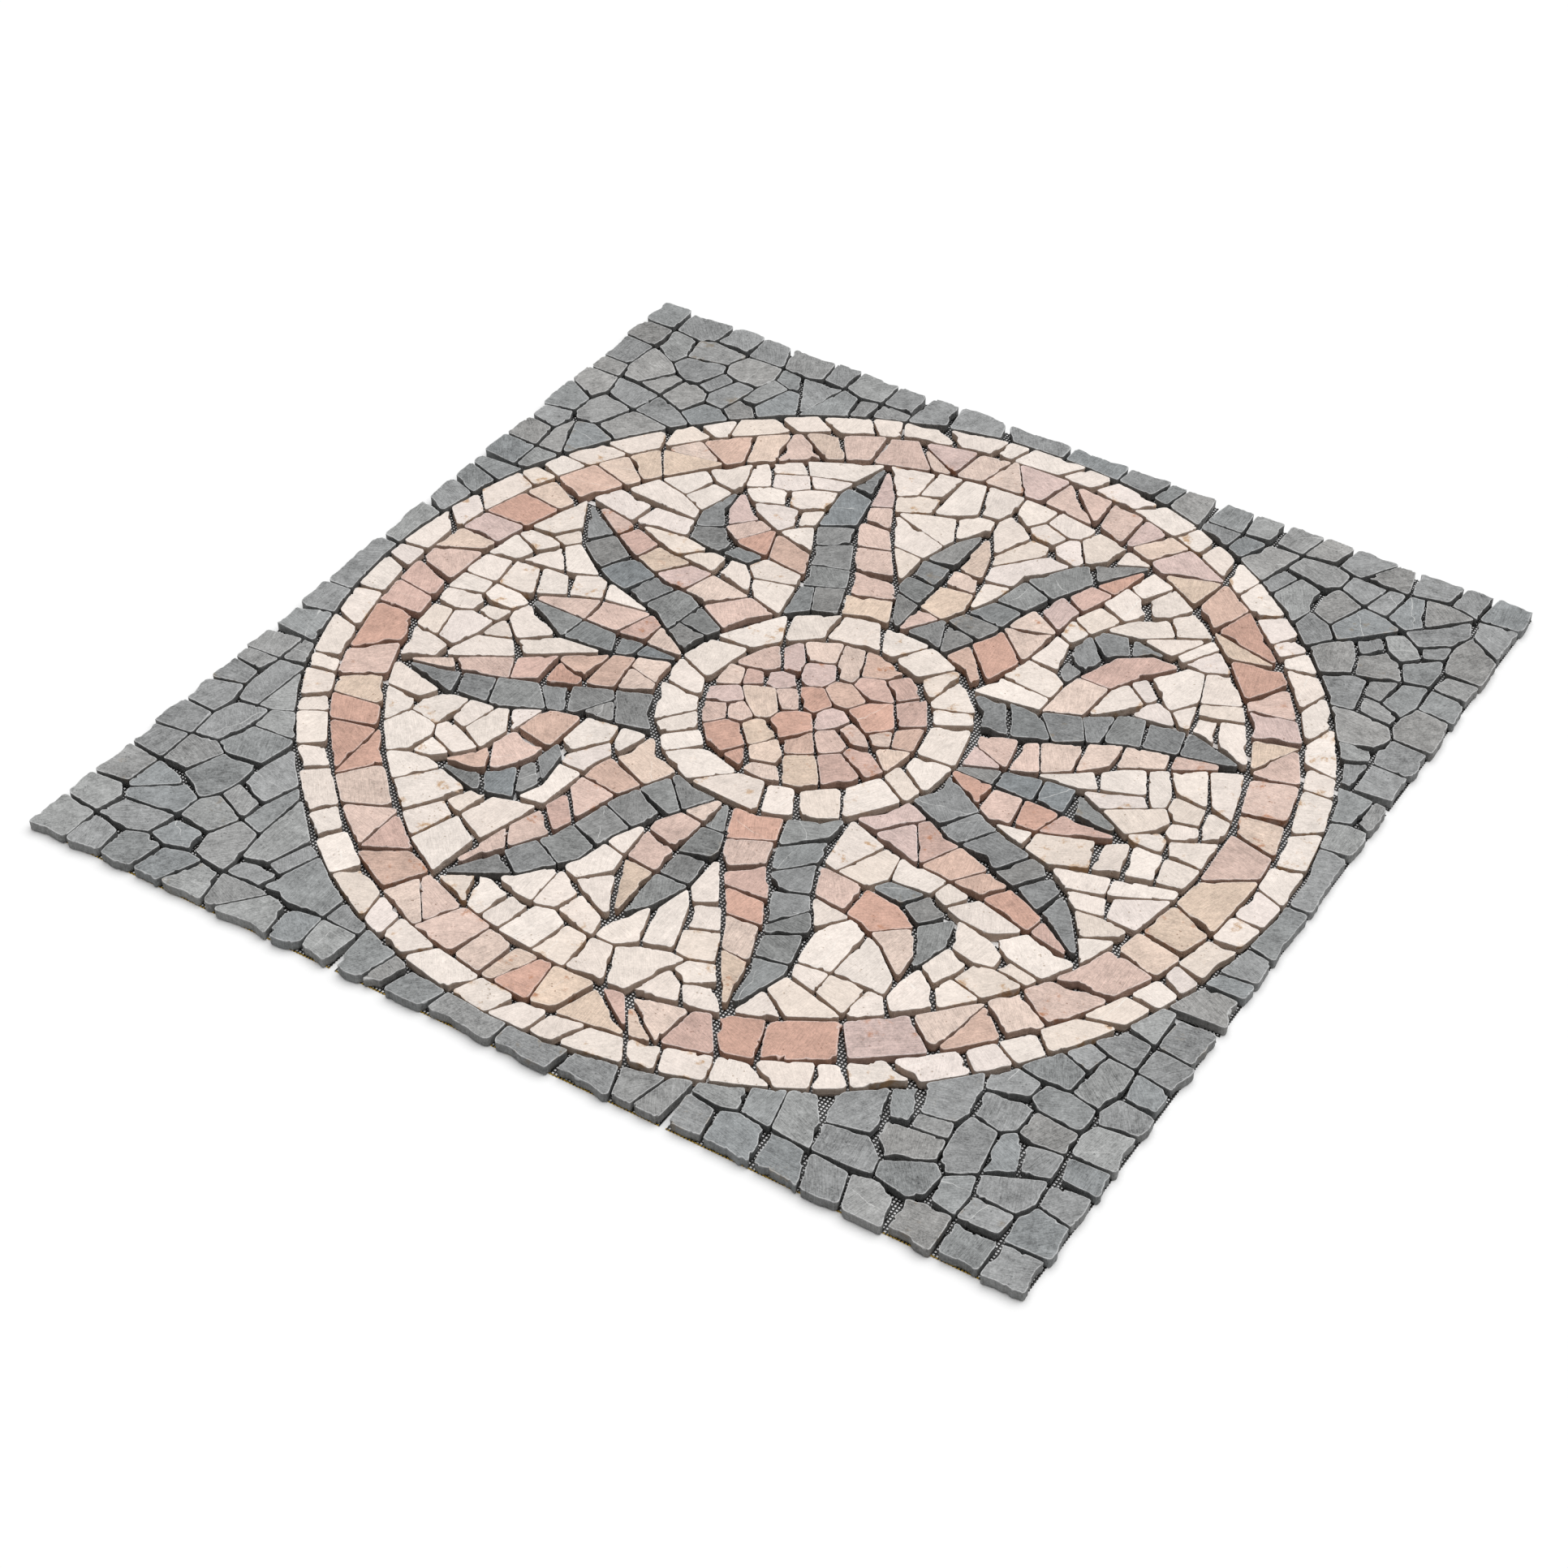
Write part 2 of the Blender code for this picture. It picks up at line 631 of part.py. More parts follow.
# The rays and the field between them
large = [large_ray(number) for number in range(LARGE_RAYS)]
for number in range(LARGE_RAYS):
    before, after = large[number - 1], large[number]
    is_curved = number % 2 == 1
    small = curved_ray(number, before) if is_curved else small_ray(number, before, after)
    kinds = ((f"large_ray_{number + 1}", large[number], True),
             (f"small_ray_{number + 1}", small, not is_curved))
    for label, lines, foot_arc in kinds:
        left_stones, right_stones = ray_halves(lines, foot_arc)
        place(f"{label}_grey_half", stone_mesh(f"{label}_grey_half", left_stones), GREY)
        place(f"{label}_rose_half", stone_mesh(f"{label}_rose_half", right_stones), ROSE)
    label = f"cream_field_{number + 1}"
    place(label, stone_mesh(label, field_patch(before, after, small, is_curved)), CREAM)

# The grey surround, one corner at a time
for quarter, label in enumerate(("back_right", "back_left", "front_left", "front_right")):
    label = f"grey_surround_{label}"
    place(label, stone_mesh(label, corner_of_surround(quarter)), GREY)
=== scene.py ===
"""Sun-ray mosaic panel: tumbled marble on nine mats of glass-fibre mesh, lying face up."""

import math
import random

import bmesh
import bpy
from mathutils import Matrix, Vector


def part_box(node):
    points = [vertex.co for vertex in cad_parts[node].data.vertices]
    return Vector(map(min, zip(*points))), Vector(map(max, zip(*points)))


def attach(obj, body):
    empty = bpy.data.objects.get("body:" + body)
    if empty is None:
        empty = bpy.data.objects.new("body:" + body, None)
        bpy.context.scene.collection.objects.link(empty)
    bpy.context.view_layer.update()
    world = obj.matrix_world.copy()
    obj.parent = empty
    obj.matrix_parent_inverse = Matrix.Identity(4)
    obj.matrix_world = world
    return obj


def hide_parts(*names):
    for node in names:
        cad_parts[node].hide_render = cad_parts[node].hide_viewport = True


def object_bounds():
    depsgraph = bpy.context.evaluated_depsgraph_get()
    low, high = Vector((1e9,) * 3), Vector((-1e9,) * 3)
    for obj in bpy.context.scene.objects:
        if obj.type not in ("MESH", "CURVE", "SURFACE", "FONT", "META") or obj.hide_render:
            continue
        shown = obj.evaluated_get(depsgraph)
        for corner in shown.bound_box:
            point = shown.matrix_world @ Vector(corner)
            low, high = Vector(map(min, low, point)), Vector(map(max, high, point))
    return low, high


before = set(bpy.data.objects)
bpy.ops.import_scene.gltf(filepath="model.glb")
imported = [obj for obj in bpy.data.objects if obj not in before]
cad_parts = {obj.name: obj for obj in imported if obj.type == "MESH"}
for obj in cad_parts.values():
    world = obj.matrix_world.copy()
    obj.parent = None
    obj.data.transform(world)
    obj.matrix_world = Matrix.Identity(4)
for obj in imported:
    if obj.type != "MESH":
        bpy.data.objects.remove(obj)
solid_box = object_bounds()


# Backing mesh
# Each mat lies on a square sheet of open glass-fibre mesh. Two layers of coated yarn cross
# each other and are bonded where they touch. The stones are glued on top of them.
class Wire:
    """A socket of a node tree, on which sums can be written."""

    def __init__(self, tree, socket=None):
        self.tree = tree
        self.socket = socket

    def node(self, kind, settings=None, sockets=None, out=0):
        """Adds a node: its settings first, then the values or links of its sockets."""
        made = self.tree.nodes.new(kind)
        for name, value in (settings or {}).items():
            if name == "stops":
                stops = made.color_ramp.elements
                stops.remove(stops[1])
                for i, (position, colour) in enumerate(value):
                    stop = stops[0] if i == 0 else stops.new(position)
                    stop.position = position
                    stop.color = (*colour, 1)
            elif name == "blend_between_stops":
                made.color_ramp.interpolation = value
            elif name == "item_count":
                while len(made.index_switch_items) < value:
                    made.index_switch_items.new()
            else:
                setattr(made, name, value)
        for name, value in (sockets or {}).items():
            if isinstance(value, Wire):
                self.tree.links.new(value.socket, made.inputs[name])
            else:
                made.inputs[name].default_value = value
        return Wire(self.tree, made.outputs[out])

    def sum(self, operation, *values):
        return self.node("ShaderNodeMath", {"operation": operation}, dict(enumerate(values)))

    def vector_sum(self, operation, *values, out=0):
        return self.node("ShaderNodeVectorMath", {"operation": operation},
                         dict(enumerate(values)), out)

    def scaled(self, factor):
        return self.node("ShaderNodeVectorMath", {"operation": "SCALE"}, {0: self, 3: factor})

    def __add__(self, other):
        return self.sum("ADD", self, other)

    def __sub__(self, other):
        return self.sum("SUBTRACT", self, other)

    def __rsub__(self, other):
        return self.sum("SUBTRACT", other, self)

    def __mul__(self, other):
        return self.sum("MULTIPLY", self, other)

    __radd__ = __add__

    def above(self, threshold):
        return self.sum("MAXIMUM", self - threshold, 0.0)

    def between(self, low, high):
        """0 below low, 1 above high, with a smooth slope between them."""
        return self.node("ShaderNodeMapRange", {"interpolation_type": "SMOOTHSTEP"},
                         {0: self, 1: low, 2: high, 3: 0.0, 4: 1.0})

    def noise(self, scale, detail=2.0, roughness=0.5):
        return self.node("ShaderNodeTexNoise", {}, {"Vector": self, "Scale": scale,
                                                     "Detail": detail, "Roughness": roughness})

    def mixed(self, other, share):
        """A colour mixed with another by a share from 0 to 1."""
        return self.node("ShaderNodeMix", {"data_type": "RGBA"}, {0: share, 6: self, 7: other}, 2)


def colour(code):
    """A colour as linear values, from the six signs that a paint chart would give."""
    shares = [int(code[i:i + 2], 16) / 255 for i in (0, 2, 4)]
    return tuple(s / 12.92 if s <= 0.04045 else ((s + 0.055) / 1.055) ** 2.4 for s in shares)


def new_tree(name, numbers, others=()):
    """A geometry tree with an input and an output of geometry, and named inputs."""
    tree = bpy.data.node_groups.new(name, "GeometryNodeTree")
    tree.interface.new_socket("Geometry", in_out="INPUT", socket_type="NodeSocketGeometry")
    tree.interface.new_socket("Geometry", in_out="OUTPUT", socket_type="NodeSocketGeometry")
    for label, value in numbers.items():
        kind = "NodeSocketInt" if isinstance(value, int) else "NodeSocketFloat"
        tree.interface.new_socket(label, in_out="INPUT", socket_type=kind).default_value = value
    for label, kind in others:
        tree.interface.new_socket(label, in_out="INPUT", socket_type=kind)
    inputs = tree.nodes.new("NodeGroupInput")
    return tree, {s.name: Wire(tree, s) for s in inputs.outputs if s.name}


def end_tree(tree, geometry, finish):
    """Ends a geometry tree: instances made real, and the finish put on."""
    whole = geometry.node("GeometryNodeRealizeInstances", {}, {"Geometry": geometry})
    done = whole.node("GeometryNodeSetMaterial", {}, {"Geometry": whole, "Material": finish})
    result = tree.nodes.new("NodeGroupOutput")
    tree.links.new(done.socket, result.inputs[0])


def grown(name, data, tree, values):
    """Runs a geometry tree on curve or mesh data and keeps what it makes as a plain mesh."""
    seedling = bpy.data.objects.new(name + "_seedling", data)
    bpy.context.scene.collection.objects.link(seedling)
    modifier = seedling.modifiers.new("grow", "NODES")
    modifier.node_group = tree
    for item in tree.interface.items_tree:
        if item.in_out == "INPUT" and item.name in values:
            modifier[item.identifier] = values[item.name]
    depsgraph = bpy.context.evaluated_depsgraph_get()
    mesh = bpy.data.meshes.new_from_object(seedling.evaluated_get(depsgraph),
                                           preserve_all_data_layers=True, depsgraph=depsgraph)
    bpy.data.objects.remove(seedling)
    mesh.name = name
    piece = bpy.data.objects.new(name, mesh)
    bpy.context.scene.collection.objects.link(piece)
    return piece


def yarn_layers():
    """Yarns along X on the underside and yarns along Y on top of them, as thin rods."""
    tree, given = new_tree("yarn_layers", {"Width": 0.298, "Depth": 0.298, "Pitch": 0.0030,
                                           "Yarn width": 0.0015, "Yarn height": 0.00034},
                           [("Coating", "NodeSocketMaterial")])
    start = given["Width"]
    layers = start.tree.nodes.new("GeometryNodeJoinGeometry")
    for across, along, quarter_turn, level in (("Depth", "Width", 0.0, 0.5),
                                               ("Width", "Depth", math.pi / 2, 1.4)):
        gaps = given[across].sum("DIVIDE", given[across], given["Pitch"])
        count = gaps.sum("FLOOR", gaps) + 1
        step = given["Pitch"]
        reach = (count - 1) * step * -0.5
        line = start.node("GeometryNodeMeshLine", {}, {
            "Count": count,
            "Start Location": start.node("ShaderNodeCombineXYZ", {}, {1: reach}),
            "Offset": start.node("ShaderNodeCombineXYZ", {}, {1: step})})
        rod = start.node("GeometryNodeMeshCylinder", {"fill_type": "NGON"}, {
            "Vertices": 6, "Side Segments": 1, "Radius": 0.5, "Depth": 1.0})
        rod = rod.node("GeometryNodeTransform", {}, {"Geometry": rod,
                                                     "Rotation": (0, math.pi / 2, 0)})
        rod = rod.node("GeometryNodeTransform", {}, {
            "Geometry": rod, "Scale": start.node("ShaderNodeCombineXYZ", {}, {
                0: given[along], 1: given["Yarn width"], 2: given["Yarn height"]})})
        laid = line.node("GeometryNodeInstanceOnPoints", {}, {"Points": line, "Instance": rod})
        laid = laid.node("GeometryNodeTransform", {}, {
            "Geometry": laid, "Rotation": (0, 0, quarter_turn),
            "Translation": start.node("ShaderNodeCombineXYZ", {}, {
                2: given["Yarn height"] * level})})
        tree.links.new(laid.socket, layers.inputs[0])
    end_tree(tree, Wire(tree, layers.outputs[0]), given["Coating"])
    return tree


def yarn_finish(name, tone, fleck_tone):
    """Glass-fibre yarn in a coating, flecked at random with a second, rougher tone."""
    material = bpy.data.materials.new(name)
    material.use_nodes = True
    shader = material.node_tree.nodes["Principled BSDF"]
    here = Wire(material.node_tree).node("ShaderNodeTexCoord", out="Object")
    random_flecks = here.noise(420.0, 3.0).between(0.60, 0.85)
    coating = here.node("ShaderNodeMix", {"data_type": "RGBA"},
                        {0: random_flecks, 6: (*colour(tone), 1), 7: (*colour(fleck_tone), 1)}, 2)
    material.node_tree.links.new(coating.socket, shader.inputs["Base Color"])
    material.node_tree.links.new((random_flecks * 0.3 + 0.40).socket, shader.inputs["Roughness"])
    return material


yarn_tree = yarn_layers()
yarn_coating = yarn_finish("black_yarn", "121110", "4f4a44")
selvedge_dye = yarn_finish("yellow_selvedge_yarn", "c9a22c", "a8935c")
trimmed, selvedge_inset = Vector((0.0022, 0.0022, 0)), 0.0006
blank = bpy.data.meshes.new("blank")
for node in sorted(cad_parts):
    if node.startswith("mesh_sheet"):
        low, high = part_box(node)
        low, high = low + trimmed, high - trimmed
        woven = [("yarn_mesh", (low.y + high.y) / 2, {
            "Depth": high.y - low.y, "Coating": yarn_coating})]
        # The yellow edge of the front sheets shows where the stones lie back from it
        if "front" in node:
            woven.append(("selvedge", low.y + selvedge_inset, {
                "Depth": 0.0010, "Pitch": 0.0025, "Yarn width": 0.0008, "Yarn height": 0.00045,
                "Coating": selvedge_dye}))
        for name, middle, sizes in woven:
            yarns = grown(node.replace("mesh_sheet", name), blank, yarn_tree, {
                "Width": high.x - low.x, **sizes})
            yarns.data.transform(Matrix.Translation(((low.x + high.x) / 2, middle, 0)))
            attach(yarns, "root")
            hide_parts(node)


# Rose and cream rings, and the rose disc in the middle
# Sawn marble strips are broken into chips and tumbled, which rounds their corners and wears
# their top edges. The chips are glued on the mesh side by side with narrow grooves.
def top_outlines(node):
    """The flat top of each stone of a CAD node, as a closed loop of points."""
    same_point, same_level = 1e-6, 1e-5
    mesh = bmesh.new()
    mesh.from_mesh(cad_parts[node].data)
    bmesh.ops.remove_doubles(mesh, verts=mesh.verts, dist=same_point)
    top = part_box(node)[1].z - same_level
    after = {}
    for face in mesh.faces:
        if all(vert.co.z > top for vert in face.verts):
            for loop in face.loops:
                twin = loop.link_loop_radial_next
                if twin is loop or any(vert.co.z <= top for vert in twin.face.verts):
                    after[loop.vert] = loop.link_loop_next.vert
    outlines = []
    while after:
        vert, following = after.popitem()
        outline = [vert.co.copy()]
        while following in after:
            outline.append(following.co.copy())
            following = after.pop(following)
        outlines.append(outline)
    mesh.free()
    return outlines


def cut_off(outline, point, across):
    """The part of an outline on one side of a line through a point."""
    kept = []
    for here, after in zip(outline, outline[1:] + outline[:1]):
        depth, next_depth = (here - point).dot(across), (after - point).dot(across)
        if depth >= 0:
            kept.append(here)
        if depth * next_depth < 0:
            kept.append(here.lerp(after, depth / (depth - next_depth)))
    return kept


def broken_further(outline, largest, dice):
    """A stone that is larger than it should be is broken in two across its length, nearly in
    its middle, and the halves are laid with a groove between them."""
    size_spread, slant, off_middle, groove_spread = (0.8, 1.6), 0.35, 0.15, (0.0006, 0.0011)
    points = [corner - outline[0] for corner in outline[1:]]
    size = sum(a.x * b.y - a.y * b.x for a, b in zip(points, points[1:])) / 2
    if size < largest * dice.uniform(*size_spread):
        return [outline]
    middle = sum(outline, Vector()) / len(outline)
    longest = max(outline, key=lambda corner: (corner - middle).length) - middle
    across = Matrix.Rotation(dice.gauss(0, slant), 3, "Z") @ longest.normalized()
    middle = middle + longest * dice.uniform(-off_middle, off_middle)
    half_groove = dice.uniform(*groove_spread)
    parts = [cut_off(outline, middle + side * half_groove, side) for side in (across, -across)]
    if min(len(part) for part in parts) < 3:
        return [outline]
    return [piece for part in parts for piece in broken_further(part, largest, dice)]


def tumbled_stones():
    """Stones from their outlines. Each outline is rounded, chipped and drawn in for the worn
    edge, then rings of points run from the middle of its top, over the edge and down. Points
    of the outline move along spokes from the stone's middle, which keeps it from folding, and
    only Grown and Ring filling move them outwards, so that neighbours don't cross."""
    least_lean, deepest_wear, deepest_bite, uneven_band = 0.6, 0.15, 0.20, 0.004
    wave_scale, bite_scale, setback_scale, edge_scale = 95.0, 85.0, 27.0, 24.0
    wear_scale, chip_scale, side_scale = 170.0, 140.0, 330.0
    tree, given = new_tree("tumbled_stones", {
        "Foot level": 0.001, "Top level": 0.010, "Point spacing": 0.0020,
        "Least rounding": 0.0008, "Most rounding": 0.0032, "Waviness": 0.0022,
        "Bite": 0.014, "Worn edge": 0.0004, "Chip": 0.016, "Setback": 0.024,
        "Side roughness": 0.0010, "Tilt": 0.012, "Sinking": 0.0005, "Grown": 0.0004,
        "Ring filling": 0.0, "Panel edge": 0.4480, "Uneven edge": 0.0150, "Seed": 1},
        [("Marble", "NodeSocketMaterial")])
    outlines = given["Geometry"]
    seed = given["Seed"]

    def random_number(low, high, number):
        return seed.node("FunctionNodeRandomValue", {"data_type": "FLOAT"},
                         {2: low, 3: high, 8: seed + number}, 1)

    def random_vector(low, high, stone, number):
        return seed.node("FunctionNodeRandomValue", {"data_type": "FLOAT_VECTOR"},
                         {0: low, 1: high, 7: stone, 8: seed + number}, 0)

    def stored(geometry, name, value, data_type):
        return geometry.node("GeometryNodeStoreNamedAttribute", {"data_type": data_type},
                             {0: geometry, 2: name, 3: value})

    def recalled(name, data_type):
        return seed.node("GeometryNodeInputNamedAttribute", {"data_type": data_type}, {0: name})

    # The worn outline of each stone's top
    curve = outlines.node("GeometryNodeFilletCurve", {"mode": "POLY"}, {
        "Curve": outlines, "Count": 4, "Limit Radius": True,
        "Radius": random_number(given["Least rounding"], given["Most rounding"], 0)})
    curve = curve.node("GeometryNodeResampleCurve", {"mode": "LENGTH"},
                       {"Curve": curve, "Length": given["Point spacing"]})
    stone = curve.node("GeometryNodeCurveOfPoint")
    position = curve.node("GeometryNodeInputPosition")
    shift = random_vector((-1, -1, -1), (1, 1, 1), stone, 1)
    spot = position.vector_sum("ADD", position, shift)
    tangent = curve.node("GeometryNodeInputTangent")
    facing = tangent.vector_sum("CROSS_PRODUCT", tangent, (0, 0, 1))
    centre = curve.node("GeometryNodeFieldOnDomain",
                        {"domain": "CURVE", "data_type": "FLOAT_VECTOR"}, {0: position})
    spoke = position.vector_sum("SUBTRACT", position, centre)
    depth = spoke.vector_sum("LENGTH", spoke, out=1)
    spoke = spoke.vector_sum("NORMALIZE", spoke)
    lean = spoke.vector_sum("DOT_PRODUCT", spoke, facing, out=1)
    outwards = spoke.scaled(lean.sum("DIVIDE", 1.0, lean.sum("MAXIMUM", lean, least_lean)))
    wave = (spot.noise(wave_scale, 4.0, 0.6) - 0.5) * given["Waviness"] * 2.0
    bite = (spot.noise(bite_scale, 1.0) - 0.5).above(0.16) * given["Bite"]
    setback = (spot.noise(setback_scale, 1.0) - 0.5).above(0.06) * given["Setback"]
    wear = given["Worn edge"] * (spot.noise(wear_scale, 2.0) + 0.5)
    wear = wear + spot.noise(chip_scale, 1.0).above(0.66) * given["Chip"]
    wear = wear.sum("MINIMUM", wear, depth * deepest_wear)
    sides = position.vector_sum("ABSOLUTE", position)
    far = sides.node("ShaderNodeSeparateXYZ", {}, {0: sides}, 0)
    far = far.sum("MAXIMUM", far, sides.node("ShaderNodeSeparateXYZ", {}, {0: sides}, 1))
    drawn_in = far.between(given["Panel edge"] - uneven_band, given["Panel edge"]) * given[
        "Uneven edge"] * spot.noise(edge_scale, 1.0).above(0.36)
    radial = position.vector_sum("NORMALIZE", position)
    radial = radial.vector_sum("DOT_PRODUCT", radial, facing, out=1)
    filling = given["Ring filling"] * radial.sum("ABSOLUTE", radial).between(0.93, 0.99)
    worn_in = wave - bite - setback - drawn_in
    worn_in = worn_in.sum("MINIMUM", worn_in, 0.0) + given["Grown"] + filling
    worn_in = outwards.scaled(worn_in.sum("MAXIMUM", worn_in, depth * -deepest_bite) - wear)
    curve = curve.node("GeometryNodeSetPosition", {}, {"Geometry": curve, "Offset": worn_in})
    curve = stored(curve, "rim", position, "FLOAT_VECTOR")
    curve = stored(curve, "centre", centre, "FLOAT_VECTOR")
    curve = stored(curve, "outwards", outwards, "FLOAT_VECTOR")
    curve = stored(curve, "wear", wear, "FLOAT")
    curve = stored(curve, "stone", random_vector((0, 0, 0), (1, 1, 1), stone, 2), "FLOAT_VECTOR")
    curve = stored(curve, "slope", random_vector((-1, -1, -1), (1, 1, 1), stone, 3),
                   "FLOAT_VECTOR")

    # Rings from the middle of the top to the middle of the underside. Each column is one ring.
    pulled_in = (1.00, 0.10, 0.00, 0.00, 0.00, 0.00, 0.00, 0.00, 0.00, 1.00)
    wear_out = (0.00, 0.00, 0.00, 0.45, 0.85, 1.00, 1.00, 1.00, 0.80, 0.00)
    wear_down = (0.00, 0.00, 0.00, 0.12, 0.48, 1.00, 0.80, 0.30, 0.00, 0.00)
    way_down = (0.00, 0.00, 0.00, 0.00, 0.00, 0.00, 0.33, 0.68, 1.00, 1.00)
    edge_mask = (0.00, 0.00, 0.80, 1.00, 1.00, 0.70, 0.10, 0.00, 0.00, 0.00)
    side_mask = (0.00, 0.00, 0.00, 0.05, 0.35, 0.80, 1.00, 1.00, 1.00, 1.00)
    roughened = (0.00, 0.00, 0.00, 0.00, 0.00, 0.00, 1.00, 1.00, 0.80, 0.00)
    line = seed.node("GeometryNodeMeshLine", {}, {
        "Count": len(pulled_in), "Offset": (0.001, 0, 0)})
    line = stored(line, "ring", seed.node("GeometryNodeInputIndex"), "INT")
    line = line.node("GeometryNodeMeshToCurve", {}, {"Mesh": line})
    mesh = curve.node("GeometryNodeCurveToMesh", {}, {"Curve": curve, "Profile Curve": line})
    ring = recalled("ring", "INT")

    def by_ring(values):
        return ring.node("GeometryNodeIndexSwitch",
                         {"data_type": "FLOAT", "item_count": len(values)},
                         {0: ring, **{i + 1: value for i, value in enumerate(values)}})

    rim, centre = recalled("rim", "FLOAT_VECTOR"), recalled("centre", "FLOAT_VECTOR")
    outwards, wear = recalled("outwards", "FLOAT_VECTOR"), recalled("wear", "FLOAT")
    slope = recalled("slope", "FLOAT_VECTOR")
    inwards = rim.vector_sum("SUBTRACT", centre, rim).scaled(by_ring(pulled_in))
    plan = rim.vector_sum("ADD", rim, inwards)
    plan = plan.vector_sum("ADD", plan, outwards.scaled(by_ring(wear_out) * wear))
    from_centre = plan.vector_sum("SUBTRACT", plan, centre)
    tipped = from_centre.vector_sum("DOT_PRODUCT", from_centre, slope, out=1) * given["Tilt"]
    sunk = slope.node("ShaderNodeSeparateXYZ", {}, {0: slope}, 2) * 0.5 + 1.0
    top = given["Top level"] - given["Sinking"] * sunk + tipped
    top = top.sum("MINIMUM", top, given["Top level"])
    level = top - by_ring(wear_down) * wear
    level = level + (given["Foot level"] - level) * by_ring(way_down)
    plan = plan.vector_sum("MULTIPLY", plan, (1, 1, 0))
    place = plan.vector_sum("ADD", plan, level.node("ShaderNodeCombineXYZ", {}, {2: level}))
    mesh = mesh.node("GeometryNodeSetPosition", {}, {"Geometry": mesh, "Position": place})
    mesh = mesh.node("GeometryNodeMergeByDistance", {}, {"Geometry": mesh, "Distance": 1e-6})
    rough = (position.noise(side_scale, 3.0) - 0.7) * given["Side roughness"] * by_ring(roughened)
    mesh = mesh.node("GeometryNodeSetPosition", {},
                     {"Geometry": mesh, "Offset": outwards.scaled(rough)})
    mesh = stored(mesh, "edge", by_ring(edge_mask), "FLOAT")
    mesh = stored(mesh, "side", by_ring(side_mask), "FLOAT")
    mesh = mesh.node("GeometryNodeSetShadeSmooth", {}, {"Geometry": mesh})
    end_tree(tree, mesh, given["Marble"])
    return tree


